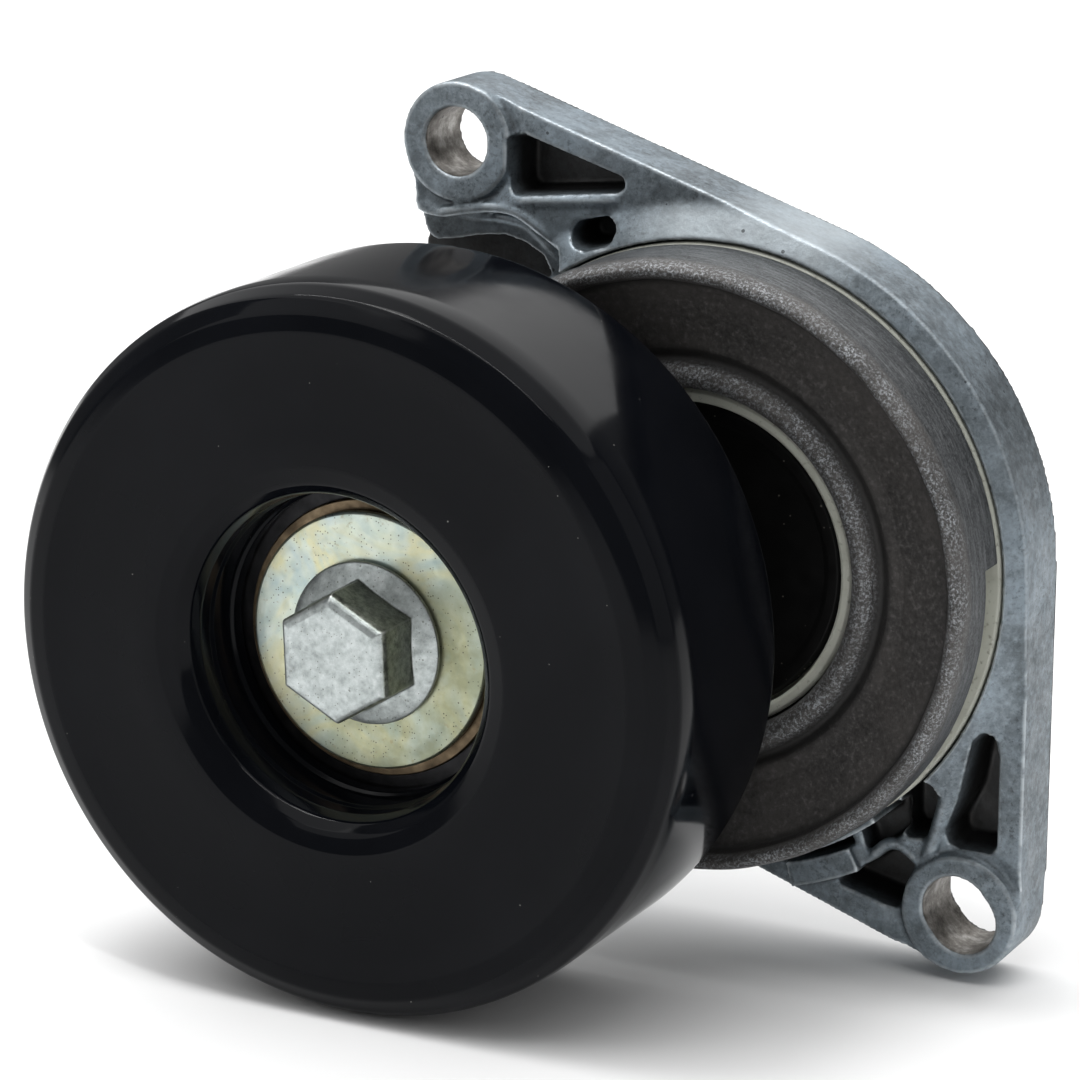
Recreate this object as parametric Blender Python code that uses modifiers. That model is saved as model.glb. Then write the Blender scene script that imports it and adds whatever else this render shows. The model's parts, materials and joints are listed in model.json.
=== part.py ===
"""Belt tensioner idler: die-cast bracket, sprung pressed-steel arm and a flat idler pulley.

The plan view is drawn in the XY plane of each object with heights along +Z, in millimetres,
and every object is then stood up, so heights above the mounting face run along world -Y,
plan +Y becomes world +Z, and the arm pivot axis is the world Y axis at the origin.
"""

import math

import bmesh
import bpy
from mathutils import Matrix, Vector

MM = 0.001

# Idler pulley: flat running face, and where its axis sits on the arm.
PULLEY_AXIS = (-28.2, -6.3)
PULLEY_R = 45.0
PULLEY_BACK = 27.0
PULLEY_FRONT = 56.5
PULLEY_EDGE_R = 5.5
PULLEY_WALL = 2.6
OPENING_R = 19.6

# Deep-groove bearing 17 x 40 x 12 with eight balls.
BEARING_BORE_R = 8.5
BEARING_OUT_R = 20.0
BEARING_BACK = 32.0
BEARING_FRONT = 44.0
BALL_COUNT = 8
BALL_R = 3.35
BALL_PITCH_R = 14.25
GROOVE_R = 3.65

# Die-cast bracket.
PLATE_H = 9.5
HOUSING_R = 41.2
HOUSING_LOW_R = 39.5
SEAT_R = 38.6
SEAT_H = 8.7
WELL_R = 34.3
FLOOR_H = 2.5
POST_R = 16.8
POST_H = 13.2
EAR_R = 7.5
EAR_HOLE_R = 4.35
EAR_A = (-36.3, 47.4)
EAR_B = (33.4, -42.7)
SLOT_TRAVEL = 1.5
POCKET_FLOOR = 3.0
WEB_H = 4.0
HOUSING_RIM = [(38.9, 8.2), (38.9, 10.5), (39.2, 10.8), (39.9, 10.8), (41.0, 9.9), (41.0, 8.2)]

# Arm cup, the travel notch in its skirt and the fixed stop inside that notch, degrees from +X.
CUP_R = 38.2
SKIRT_END = 11.5
NOTCH_TOP = 15.6
NOTCH_FROM = -75.5
NOTCH_TO = 5.2
STOP_FROM = -75.0
STOP_TO = -51.2

# Torsion spring.
SPRING_R = 29.8
WIRE_R = 1.7
SPRING_LOW = 4.6
SPRING_TURNS = 2.2
SPRING_PITCH = 3.7

SEGMENTS = 48


def clear_scene():
    for item in list(bpy.data.objects):
        bpy.data.objects.remove(item, do_unlink=True)


def collection(name):
    made = bpy.data.collections.new(name)
    bpy.context.scene.collection.children.link(made)
    return made


def material(name, colour, metallic, roughness):
    made = bpy.data.materials.new(name)
    made.use_nodes = True
    shader = made.node_tree.nodes["Principled BSDF"]
    shader.inputs["Base Color"].default_value = (*colour, 1.0)
    shader.inputs["Metallic"].default_value = metallic
    shader.inputs["Roughness"].default_value = roughness
    return made


def place(name, mesh, where, axis=(0.0, 0.0)):
    """Stand the plan drawing up, with the object's origin on the given axis."""
    made = bpy.data.objects.new(name, mesh)
    made.rotation_euler = (math.radians(90.0), 0.0, 0.0)
    made.location = (axis[0] * MM, 0.0, axis[1] * MM)
    where.objects.link(made)
    return made


def mesh_from(bm, name):
    bmesh.ops.recalc_face_normals(bm, faces=bm.faces)
    mesh = bpy.data.meshes.new(name)
    bm.to_mesh(mesh)
    bm.free()
    return mesh


def polish(item, surface, angle=35.0):
    item.data.materials.clear()
    item.data.materials.append(surface)
    item.data.shade_smooth()
    item.data.set_sharp_from_angle(angle=math.radians(angle))


def prism_mesh(name, centres, low, high, segments=SEGMENTS):
    """Solid hull of upright discs (x, y, radius) between two heights."""
    bm = bmesh.new()
    for x, y, radius in centres:
        for step in range(segments):
            turn = 2.0 * math.pi * step / segments
            across = x + radius * math.cos(turn)
            along = y + radius * math.sin(turn)
            bm.verts.new((across * MM, along * MM, low * MM))
            bm.verts.new((across * MM, along * MM, high * MM))
    bmesh.ops.convex_hull(bm, input=bm.verts)
    loose = [v for v in bm.verts if not v.link_faces]
    bmesh.ops.delete(bm, geom=loose, context="VERTS")
    bmesh.ops.dissolve_limit(bm, angle_limit=0.002, verts=bm.verts, edges=bm.edges)
    return mesh_from(bm, name)


def plan_arc(centre, radius, start, stop, step=6.0):
    """Points along a plan-view arc, angles in degrees, ends included."""
    count = max(2, round(abs(stop - start) / step))
    out = []
    for k in range(count + 1):
        turn = math.radians(start + (stop - start) * k / count)
        out.append((centre[0] + radius * math.cos(turn), centre[1] + radius * math.sin(turn)))
    return out


def plate_mesh(name, outline, low, high):
    """Flat plate of any plan outline, extruded between two heights."""
    bm = bmesh.new()
    rim = [bm.verts.new((x * MM, y * MM, low * MM)) for x, y in outline]
    face = bm.faces.new(rim)
    lifted = bmesh.ops.extrude_face_region(bm, geom=[face])
    raised = [v for v in lifted["geom"] if isinstance(v, bmesh.types.BMVert)]
    bmesh.ops.translate(bm, verts=raised, vec=(0.0, 0.0, (high - low) * MM))
    return mesh_from(bm, name)


def sector_mesh(name, inner, outer, start, stop, low, high):
    """Ring sector between two radii, two angles in degrees and two heights."""
    outline = plan_arc((0.0, 0.0), outer, start, stop) + plan_arc((0.0, 0.0), inner, stop, start)
    return plate_mesh(name, outline, low, high)


def turned(name, profile, where, surface, axis=(0.0, 0.0), segments=SEGMENTS, angle=35.0):
    """Closed profile of (radius, height) points revolved about the object's own axis."""
    bm = bmesh.new()
    points = [bm.verts.new((r * MM, 0.0, h * MM)) for r, h in profile]
    for near, far in zip(points, points[1:] + points[:1]):
        bm.edges.new((near, far))
    mesh = bpy.data.meshes.new(name)
    bm.to_mesh(mesh)
    bm.free()
    item = place(name, mesh, where, axis)
    screw = item.modifiers.new("Revolve", "SCREW")
    screw.angle = 2.0 * math.pi
    screw.steps = segments
    screw.render_steps = segments
    screw.use_merge_vertices = True
    screw.merge_threshold = 0.00001
    screw.use_smooth_shade = True
    screw.use_normal_calculate = True
    item.data.materials.append(surface)
    bake(item)
    item.data.set_sharp_from_angle(angle=math.radians(angle))
    return item


def bake(item):
    """Turn the modifier stack into the object's own closed mesh, facing outwards."""
    graph = bpy.context.evaluated_depsgraph_get()
    graph.update()
    shaped = bpy.data.meshes.new_from_object(item.evaluated_get(graph))
    item.modifiers.clear()
    item.data = shaped
    bm = bmesh.new()
    bm.from_mesh(shaped)
    bmesh.ops.remove_doubles(bm, verts=bm.verts, dist=1e-7)
    bmesh.ops.recalc_face_normals(bm, faces=bm.faces)
    if bm.calc_volume(signed=True) < 0.0:
        bmesh.ops.reverse_faces(bm, faces=bm.faces)
    bm.to_mesh(shaped)
    bm.free()


def combine(item, tools, operation):
    for tool in tools:
        step = item.modifiers.new(tool.name, "BOOLEAN")
        step.operation = operation
        step.object = tool
        step.solver = "EXACT"
        tool.hide_render = True
        tool.display_type = "WIRE"


def fillet_arc(centre, radius, start, stop, steps):
    """Points of a circular arc in the (radius, height) plane, angles in degrees."""
    out = []
    for step in range(steps + 1):
        turn = math.radians(start + (stop - start) * step / steps)
        out.append((centre[0] + radius * math.cos(turn), centre[1] + radius * math.sin(turn)))
    return out


def bracket_outline():
    """Housing arc on the right, ear and slant edge above, concave shoulder left, ear below."""
    points = plan_arc((0.0, 0.0), HOUSING_R, 0.0, 71.6, 5.0)
    points += plan_arc(EAR_A, EAR_R, 71.6, 196.0, 11.0)
    points += [(-42.6, 41.0), (-41.9, 36.6)]
    points += plan_arc((-39.8, 36.3), 1.9, 195.0, 265.0, 35.0)
    points += [(-37.1, 34.8), (-34.2, 35.5), (-30.4, 35.9), (-27.5, 35.2), (-25.0, 33.8)]
    points += plan_arc((0.0, 0.0), HOUSING_LOW_R, 127.0, 266.0, 5.0)
    points += [(2.0, -39.6)]
    points += plan_arc(EAR_B, EAR_R, 251.2, 360.0, 11.0)
    points += [(HOUSING_R, -38.0)]
    return points


def build_bracket(where, cutters, surface):
    item = place("bracket", plate_mesh("bracket", bracket_outline(), 0.0, PLATE_H), where)

    def tool(name, mesh):
        return place(name, mesh, cutters)

    turn = math.atan2(-0.785, 0.62)
    reach = Vector((math.cos(turn), math.sin(turn))) * SLOT_TRAVEL / 2.0
    slot = [
        (EAR_B[0] + reach.x, EAR_B[1] + reach.y, EAR_HOLE_R),
        (EAR_B[0] - reach.x, EAR_B[1] - reach.y, EAR_HOLE_R),
    ]
    top = PLATE_H + 1.0
    long_pocket = [(-27.6, 47.6, 1.5), (-14.1, 43.9, 1.1), (-27.9, 42.5, 1.3)]
    rounds = [
        ("hole_upper", [(*EAR_A, EAR_HOLE_R)], -1.0, top),
        ("slot_lower", slot, -1.0, top),
        ("pocket_long", long_pocket, POCKET_FLOOR, top),
        ("pocket_small", [(-18.6, 37.2, 1.9), (-15.2, 38.3, 1.7)], POCKET_FLOOR, top),
        ("damper_seat", [(0.0, 0.0, SEAT_R)], SEAT_H, top),
        ("spring_well", [(0.0, 0.0, WELL_R)], FLOOR_H, top),
    ]
    tall = [(36.2, -18.3), (35.0, -19.7), (33.2, -26.4), (31.2, -32.2), (31.6, -34.0), (32.8, -34.5)]
    tall += [(37.1, -34.5), (38.0, -33.3), (38.0, -21.8), (37.4, -19.1)]
    middle = [(25.2, -27.6), (25.3, -32.4), (26.2, -33.8), (28.8, -33.6), (29.4, -32.2), (30.2, -29.5)]
    middle += [(30.5, -27.5), (29.9, -26.0), (28.6, -25.3)]
    low = [(16.5, -41.2), (21.7, -42.6), (24.8, -43.5), (25.6, -43.0), (26.2, -39.9), (27.3, -37.5)]
    low += [(26.6, -36.7), (25.2, -35.7), (24.0, -35.8), (20.5, -38.4)]
    angular = [("pocket_tall", tall), ("pocket_middle", middle), ("pocket_low", low)]
    cuts = []
    for name, discs, bottom, high in rounds:
        count = 64 if discs[0][2] > 20.0 else 24
        cuts.append(tool(name, prism_mesh(name, discs, bottom, high, count)))
    for name, corners in angular:
        cuts.append(tool(name, plate_mesh(name, corners, POCKET_FLOOR, top)))
    key = sector_mesh("spring_keyway", 30.0, 37.4, 196.0, 206.0, FLOOR_H, 8.0)
    cuts.append(tool("spring_keyway", key))
    gap = sector_mesh("stop_gap", 38.2, 40.8, -77.0, -61.8, POCKET_FLOOR, top)
    cuts.append(tool("stop_gap", gap))
    combine(item, cuts, "DIFFERENCE")

    # Rear web below the upper ear, hollow pivot post, stop bar, and the toe in the skirt notch.
    web = [(-42.2, 38.0), (-43.6, 33.0), (-42.5, 29.5), (-39.0, 27.5), (-28.0, 27.5)]
    web += [(-22.0, 31.0), (-25.0, 37.0)]
    rim = turned("housing_rim", HOUSING_RIM, cutters, surface)
    combine(rim, [tool("rim_end", sector_mesh("rim_end", 30.0, 50.0, 124.0, 318.0, 5.0, 15.0))], "DIFFERENCE")
    joined = [
        rim,
        tool("rear_web", plate_mesh("rear_web", web, 0.0, WEB_H)),
        tool("pivot_post", prism_mesh("pivot_post", [(0.0, 0.0, POST_R)], 1.0, POST_H, 48)),
        tool("stop_wall", sector_mesh("stop_wall", 40.7, 43.9, STOP_FROM, -61.5, 1.5, 10.3)),
        tool("stop_toe", sector_mesh("stop_toe", 36.6, 38.9, STOP_FROM, STOP_TO, 1.0, 15.2)),
    ]
    combine(item, joined, "UNION")
    bore = tool("post_bore", prism_mesh("post_bore", [(0.0, 0.0, 10.0)], 3.7, 20.0, 40))
    combine(item, [bore], "DIFFERENCE")
    bake(item)
    polish(item, surface, 30.0)
    return item


def build_pivot(where, black, cream):
    pin = [(0.0, 4.0), (9.3, 4.0), (9.7, 4.4), (9.7, 13.5)]
    pin += [(19.3, 13.5), (19.3, 14.7), (19.0, 15.0), (0.0, 15.0)]
    turned_solid("pivot_pin", pin, where, black, 40)
    bush = [
        (17.1, 5.5), (17.4, 5.2), (21.1, 5.2), (21.4, 5.5), (21.4, 16.2), (21.1, 16.5),
        (20.1, 16.5), (19.8, 16.2), (19.8, 13.2), (17.1, 13.2),
    ]
    turned("pivot_bush", bush, where, cream, segments=40)


def turned_solid(name, profile, where, surface, segments, axis=(0.0, 0.0)):
    """Open profile that starts and ends on the axis, revolved into a solid body."""
    bm = bmesh.new()
    points = [bm.verts.new((r * MM, 0.0, h * MM)) for r, h in profile]
    for near, far in zip(points, points[1:]):
        bm.edges.new((near, far))
    mesh = bpy.data.meshes.new(name)
    bm.to_mesh(mesh)
    bm.free()
    item = place(name, mesh, where, axis)
    screw = item.modifiers.new("Revolve", "SCREW")
    screw.angle = 2.0 * math.pi
    screw.steps = segments
    screw.render_steps = segments
    screw.use_merge_vertices = True
    screw.merge_threshold = 0.00001
    screw.use_smooth_shade = True
    screw.use_normal_calculate = True
    item.data.materials.append(surface)
    bake(item)
    item.data.set_sharp_from_angle(angle=math.radians(35.0))
    return item


def build_arm_cup(where, cutters, surface):
    """Pressed cup with a rolled rim, dished floor and hub tube, and the pulley post on it."""
    x, y = PULLEY_AXIS
    outside = [(21.7, 17.4), (22.2, 18.2), (23.2, 18.6), (24.3, 18.0), (25.4, 16.8)]
    outside += [(26.6, 17.3), (28.5, 17.6), (34.0, 19.5), (35.4, 20.2), (35.7, 21.6)]
    outside += [(36.3, 22.5), (37.0, 22.8)]
    outside += [(37.6, 22.3), (38.0, 21.2), (CUP_R, 19.6), (CUP_R, SKIRT_END), (36.3, SKIRT_END)]
    inside = [(36.3, 17.8), (34.2, 17.4), (25.4, 14.8), (23.8, 14.4), (23.8, 2.9), (17.1, 2.9)]
    hub = [(17.1, 4.9), (21.7, 4.9)]
    item = turned("arm_cup", outside + inside + hub, where, surface, segments=SEGMENTS)
    low = prism_mesh("post_base", [(x, y, 9.6)], 17.3, 27.0, 36)
    mid = prism_mesh("post_neck", [(x, y, 10.8)], 24.0, 30.2, 36)
    spigot = prism_mesh("post_spigot", [(x, y, 8.2)], 26.0, 43.7, 36)
    base = [place(m.name, m, cutters) for m in (low, mid, spigot)]
    combine(item, base, "UNION")
    bore = prism_mesh("bolt_bore", [(x, y, 5.2)], 23.0, 50.0, 32)
    notch = sector_mesh("skirt_notch", 35.0, 41.0, NOTCH_FROM, NOTCH_TO, SKIRT_END - 2.0, NOTCH_TOP)
    hook = sector_mesh("spring_hook_slot", 20.5, 25.0, 124.0, 134.5, 10.6, 14.9)
    cuts = [place(m.name, m, cutters) for m in (bore, notch, hook)]
    combine(item, cuts, "DIFFERENCE")
    bake(item)
    polish(item, surface)
    return item


def build_damper_ring(where, cutters, surface):
    ring = [
        (34.6, 9.0), (38.0, 9.0), (38.3, 9.3), (38.3, 10.9), (38.0, 11.2), (36.0, 11.2),
        (36.0, 14.2), (34.9, 14.2), (34.6, 13.9),
    ]
    item = turned("damper_ring", ring, where, surface, segments=SEGMENTS)
    key = sector_mesh("ring_key", 36.3, 41.0, STOP_FROM - 0.6, STOP_TO + 0.6, 7.0, 16.0)
    combine(item, [place("ring_key", key, cutters)], "DIFFERENCE")
    bake(item)
    polish(item, surface)
    return item


def build_spring(where, surface):
    """Round wire along the coils, with a leg into the bracket and one into the arm."""
    first = math.radians(201.0)
    last = first - 2.0 * math.pi * SPRING_TURNS
    steps = round(24 * SPRING_TURNS)
    final = SPRING_LOW + SPRING_PITCH * SPRING_TURNS
    path = [(36.6, first, SPRING_LOW), (32.6, first, SPRING_LOW)]
    for step in range(1, steps):
        share = step / steps
        lift = SPRING_LOW + SPRING_PITCH * SPRING_TURNS * share
        path.append((SPRING_R, first + (last - first) * share, lift))
    path += [(26.8, last, final), (22.2, last, final)]
    wire = bpy.data.curves.new("torsion_spring", "CURVE")
    wire.dimensions = "3D"
    spline = wire.splines.new("POLY")
    spline.points.add(len(path) - 1)
    for point, (radius, turn, height) in zip(spline.points, path):
        point.co = (radius * math.cos(turn) * MM, radius * math.sin(turn) * MM, height * MM, 1.0)
    wire.bevel_depth = WIRE_R * MM
    wire.bevel_resolution = 2
    wire.use_fill_caps = True
    item = place("torsion_spring", wire, where)
    graph = bpy.context.evaluated_depsgraph_get()
    graph.update()
    mesh = bpy.data.meshes.new_from_object(item.evaluated_get(graph))
    bpy.data.objects.remove(item, do_unlink=True)
    item = place("torsion_spring", mesh, where)
    bake(item)
    polish(item, surface, 60.0)


def build_pulley_shell(where, surface):
    """Pressed flat-faced rim, web and hub tube in one shell, hollow behind."""
    top = PULLEY_FRONT
    edge = fillet_arc((PULLEY_R - PULLEY_EDGE_R, top - PULLEY_EDGE_R), PULLEY_EDGE_R, 0, 90, 6)
    lip = fillet_arc((OPENING_R + 3.6, top - 4.0), 3.6, 90, 180, 5)
    outer = [(PULLEY_R - 0.9, PULLEY_BACK), (PULLEY_R - 0.2, PULLEY_BACK + 0.4)]
    outer += [(PULLEY_R, PULLEY_BACK + 1.3)]
    outer += edge + [(38.0, top - 0.35), (31.0, top - 0.45)] + lip
    seat = [(OPENING_R, 46.6), (18.8, 46.2), (18.8, 44.3), (20.3, 44.3), (20.3, 31.6), (22.6, 31.6)]
    inner_r = PULLEY_R - PULLEY_WALL
    hollow = [(22.6, 50.6), (24.4, 53.2), (38.6, 53.6), (inner_r, 50.6), (inner_r, PULLEY_BACK)]
    turned("pulley_shell", outer + seat + hollow, where, surface, PULLEY_AXIS, 64)


def build_bearing(where, steel, cage_steel, rubber):
    low, high = BEARING_BACK, BEARING_FRONT
    middle = (low + high) / 2.0
    outer_groove = fillet_arc((BALL_PITCH_R, middle), GROOVE_R, -38, 38, 4)
    outer = [(19.8, low), (BEARING_OUT_R, low + 0.3), (BEARING_OUT_R, high - 0.3), (19.8, high)]
    outer += [(17.1, high), (17.1, high - 3.0)] + outer_groove[::-1] + [(17.1, low + 3.0), (17.1, low)]
    turned("bearing_outer_ring", outer, where, steel, PULLEY_AXIS, 36)
    inner_groove = fillet_arc((BALL_PITCH_R, middle), GROOVE_R, 142, 218, 4)
    inner = [(BEARING_BORE_R, low), (11.4, low), (11.4, low + 3.0)] + inner_groove[::-1]
    inner += [(11.4, high - 3.0), (11.4, high), (BEARING_BORE_R, high)]
    turned("bearing_inner_ring", inner, where, steel, PULLEY_AXIS, 36)

    for label, bottom in (("rear_seal", low + 0.3), ("front_seal", high - 1.2)):
        seal = [(11.8, bottom), (16.8, bottom), (16.8, bottom + 0.9), (11.8, bottom + 0.9)]
        turned(label, seal, where, rubber, PULLEY_AXIS, 32)

    cage = [(13.2, 33.6), (15.2, 33.6), (15.2, 42.4), (13.2, 42.4)]
    item = turned("ball_cage", cage, where, cage_steel, PULLEY_AXIS, 48)
    shaped = bmesh.new()
    bmesh.ops.create_icosphere(shaped, subdivisions=2, radius=BALL_R * MM)
    ball_mesh = mesh_from(shaped, "bearing_ball")
    ball_mesh.materials.append(steel)
    ball_mesh.shade_smooth()
    pockets = []
    cutters = bpy.data.collections["cutters"]
    for index in range(BALL_COUNT):
        turn = 2.0 * math.pi * index / BALL_COUNT
        aim = Vector((math.cos(turn), math.sin(turn), 0.0))
        bm = bmesh.new()
        bmesh.ops.create_cone(
            bm, cap_ends=True, segments=12, radius1=3.7 * MM, radius2=3.7 * MM, depth=6.0 * MM,
            matrix=Matrix.Translation((aim * BALL_PITCH_R + Vector((0, 0, middle))) * MM)
            @ Matrix.Rotation(turn, 4, "Z") @ Matrix.Rotation(math.radians(90), 4, "Y"),
        )
        window = mesh_from(bm, "cage_pocket")
        pockets.append(place(f"cage_pocket_{index + 1}", window, cutters, PULLEY_AXIS))
        ball = place(f"bearing_ball_{index + 1}", ball_mesh, where, PULLEY_AXIS)
        centre = aim * BALL_PITCH_R * MM
        ball.location = ball.location + Vector((centre.x, -middle * MM, centre.y))
    combine(item, pockets, "DIFFERENCE")
    bake(item)
    polish(item, cage_steel)


def build_clamp(where, bronze, zinc, bolt_steel, shield_steel):
    rear = [(8.7, 30.5), (17.4, 30.5), (18.6, 31.1), (18.4, 31.5), (17.2, 31.2), (8.7, 31.7)]
    turned("rear_shield", rear, where, shield_steel, PULLEY_AXIS, 36)
    front = [(8.5, 44.3), (17.0, 44.3), (17.2, 44.5), (17.0, 44.85)]
    front += [(5.5, 44.85), (5.5, 44.0), (8.5, 44.0)]
    turned("front_shield", front, where, bronze, PULLEY_AXIS, 40)
    washer = [(5.5, 45.15), (15.6, 45.15), (15.9, 45.35), (15.9, 46.1), (15.5, 46.3), (5.5, 46.3)]
    turned("zinc_washer", washer, where, zinc, PULLEY_AXIS, 40)
    shank = [
        (0.0, 23.6), (3.9, 23.6), (4.9, 24.6), (4.9, 46.6), (9.9, 46.6), (10.1, 46.8),
        (10.1, 47.2), (9.2, 47.7), (0.0, 48.6),
    ]
    item = turned_solid("pulley_bolt", shank, where, bolt_steel, 36, PULLEY_AXIS)
    corner = 14.0 / math.sqrt(3.0)
    bm = bmesh.new()
    bmesh.ops.create_cone(
        bm, cap_ends=True, segments=6, radius1=corner * MM, radius2=corner * MM, depth=8.2 * MM,
        matrix=Matrix.Translation((0, 0, 51.1 * MM)) @ Matrix.Rotation(math.radians(2.0), 4, "Z"),
    )
    rim = [e for e in bm.edges if all(v.co.z > 55.0 * MM for v in e.verts)]
    bmesh.ops.bevel(bm, geom=rim, offset=1.0 * MM, segments=1, affect="EDGES")
    cutters = bpy.data.collections["cutters"]
    head = place("bolt_head", mesh_from(bm, "bolt_head"), cutters, PULLEY_AXIS)
    combine(item, [head], "UNION")
    bake(item)
    polish(item, bolt_steel, 25.0)


def build():
    clear_scene()
    part = collection("belt_tensioner_idler")
    cutters = collection("cutters")
    cast = material("cast_aluminium", (0.42, 0.44, 0.46), 0.85, 0.55)
    phosphate = material("phosphated_steel", (0.14, 0.14, 0.14), 0.6, 0.6)
    black = material("black_paint", (0.012, 0.012, 0.014), 0.0, 0.22)
    gloss = material("pulley_black", (0.010, 0.010, 0.012), 0.0, 0.15)
    cream = material("cream_polymer", (0.62, 0.60, 0.46), 0.0, 0.45)
    spring = material("spring_steel", (0.16, 0.16, 0.17), 0.8, 0.45)
    shield = material("shield_steel", (0.35, 0.35, 0.36), 0.9, 0.4)
    bearing = material("bearing_steel", (0.62, 0.62, 0.64), 1.0, 0.2)
    cage = material("cage_steel", (0.5, 0.5, 0.5), 0.9, 0.4)
    rubber = material("seal_rubber", (0.02, 0.02, 0.02), 0.0, 0.6)
    bronze = material("chromated_shield", (0.45, 0.36, 0.22), 0.8, 0.4)
    zinc = material("zinc_plate", (0.72, 0.72, 0.62), 0.9, 0.35)
    bolt = material("bolt_steel", (0.66, 0.67, 0.68), 0.9, 0.35)

    build_bracket(part, cutters, cast)
    build_pivot(part, black, cream)
    build_damper_ring(part, cutters, cream)
    build_spring(part, spring)
    build_arm_cup(part, cutters, phosphate)
    build_bearing(part, bearing, cage, rubber)
    build_pulley_shell(part, gloss)
    build_clamp(part, bronze, zinc, bolt, shield)


build()
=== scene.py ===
import json
import math

import bmesh
import bpy
import numpy as np
from mathutils import Matrix, Vector


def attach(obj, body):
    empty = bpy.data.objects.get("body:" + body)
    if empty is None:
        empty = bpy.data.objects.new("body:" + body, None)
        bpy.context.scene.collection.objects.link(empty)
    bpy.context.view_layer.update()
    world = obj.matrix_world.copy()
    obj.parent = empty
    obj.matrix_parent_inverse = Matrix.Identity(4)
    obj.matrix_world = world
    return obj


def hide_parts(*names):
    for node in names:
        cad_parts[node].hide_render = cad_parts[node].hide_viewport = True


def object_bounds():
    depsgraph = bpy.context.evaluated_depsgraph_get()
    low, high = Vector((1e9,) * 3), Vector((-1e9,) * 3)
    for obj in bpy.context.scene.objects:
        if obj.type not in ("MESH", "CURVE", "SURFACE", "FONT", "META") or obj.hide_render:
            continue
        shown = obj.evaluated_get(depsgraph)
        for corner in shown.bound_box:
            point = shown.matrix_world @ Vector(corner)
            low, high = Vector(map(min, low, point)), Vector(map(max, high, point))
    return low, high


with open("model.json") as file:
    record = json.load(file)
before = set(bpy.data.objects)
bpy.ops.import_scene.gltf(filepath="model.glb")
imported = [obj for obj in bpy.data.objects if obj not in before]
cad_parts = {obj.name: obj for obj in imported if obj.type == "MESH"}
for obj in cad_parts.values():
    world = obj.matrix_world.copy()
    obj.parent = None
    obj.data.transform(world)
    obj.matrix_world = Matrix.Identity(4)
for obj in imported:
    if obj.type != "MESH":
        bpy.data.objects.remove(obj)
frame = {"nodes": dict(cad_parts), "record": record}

CAD_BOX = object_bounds()
MM = 0.001
NODES = frame["nodes"]
MOUNTS = {m["name"]: m for m in frame["record"]["mounts"]}
HEX_FACE = MOUNTS["bolt_head_face"]["pos_m"]
PULLEY = (HEX_FACE[0] / MM, HEX_FACE[2] / MM)
PIVOT = (0.0, 0.0)
# Sizes in mm and angles in degrees. Heights run from the mounting face.
EAR_A = (-36.3, 47.4)
EAR_B = (33.4, -42.7)
EAR_R = 7.5
EAR_HOLE_R = 4.35
PLATE_H = 9.5
FACE_H = PLATE_H - 0.4
POCKET_FLOOR = 3.0
HOUSING_R = 41.2
HOUSING_LOW_R = 39.5
POST_R = 16.8
WELL_R = 34.3
WELL_H = 2.5
SEAT_R = 38.6
SEAT_H = 8.7
SLOT_TRAVEL = 1.5
SLOT_AXIS = (0.62, -0.785)
STOP_FROM = -75.0
STOP_TO = -51.2
RIM_CUT_FROM = 124.0
RIM_CUT_TO = 318.0
NOTCH_FROM = -75.5
NOTCH_TO = 5.2
BOLT_BORE_R = 5.2
PULLEY_FRONT = 56.5
HEX_FLATS = 14.0
HEX_DEPTH = 8.2
HEX_MID_H = 51.1
HEX_TURN = 2.0
# Height at which most of the cutters for the bracket end, above everything on it.
ABOVE = 20.0
# Voxel sizes of the two remeshed pieces, in mm.
CAST_VOXEL = 0.28
BOLT_VOXEL = 0.15
# Floor, camera and lights are in metres and degrees, the lens in mm.
FLOOR_GAP = 0.0002
CAMERA_PLACE = (0.21305, -0.46053, 0.14107)
CAMERA_TURN = 27.77
CAMERA_TILT = 15.72
CAMERA_LENS = 140.0
LIGHT_AIM = (0.0, -0.03, 0.0)
FLOOR_Z = min(CAD_BOX[0][2], CAD_BOX[1][2])


# Mesh helpers. A plan point (x, y) at height h above the mounting face stands at (x, -h, y).

def stand(x, y, h):
    return (x * MM, -h * MM, y * MM)


def fillet(points, radius, steps=5):
    """Round the corners of a closed profile. radius is one number or one per point."""
    out = []
    count = len(points)
    for i, corner in enumerate(points):
        r = radius[i] if isinstance(radius, (list, tuple)) else radius
        c = Vector(corner)
        a = Vector(points[i - 1])
        b = Vector(points[(i + 1) % count])
        to_a = a - c
        to_b = b - c
        reach = min(to_a.length, to_b.length) * 0.48
        half = to_a.angle(to_b) / 2.0
        if r <= 0.0 or half > math.radians(86.0) or half < 0.05:
            out.append(tuple(c))
            continue
        cut = min(r / math.tan(half), reach)
        start = c + to_a.normalized() * cut
        end = c + to_b.normalized() * cut
        for k in range(steps + 1):
            t = k / steps
            out.append(tuple(start * (1 - t) ** 2 + c * 2 * t * (1 - t) + end * t * t))
    return out


def densify(points, spacing):
    """Split long profile edges, so that the surface has vertices all over."""
    out = []
    for i, point in enumerate(points):
        a = Vector(point)
        b = Vector(points[(i + 1) % len(points)])
        parts = max(1, int((b - a).length / spacing))
        out += [tuple(a.lerp(b, k / parts)) for k in range(parts)]
    return out


def obj_from(name, verts, faces):
    mesh = bpy.data.meshes.new(name)
    mesh.from_pydata(verts, [], faces)
    mesh.validate()
    item = bpy.data.objects.new(name, mesh)
    bpy.context.scene.collection.objects.link(item)
    bm = bmesh.new()
    bm.from_mesh(mesh)
    bmesh.ops.remove_doubles(bm, verts=bm.verts, dist=1e-7)
    bmesh.ops.recalc_face_normals(bm, faces=bm.faces)
    if bm.calc_volume(signed=True) < 0.0:
        bmesh.ops.reverse_faces(bm, faces=bm.faces)
    bm.to_mesh(mesh)
    bm.free()
    mesh.shade_smooth()
    return item


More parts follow.
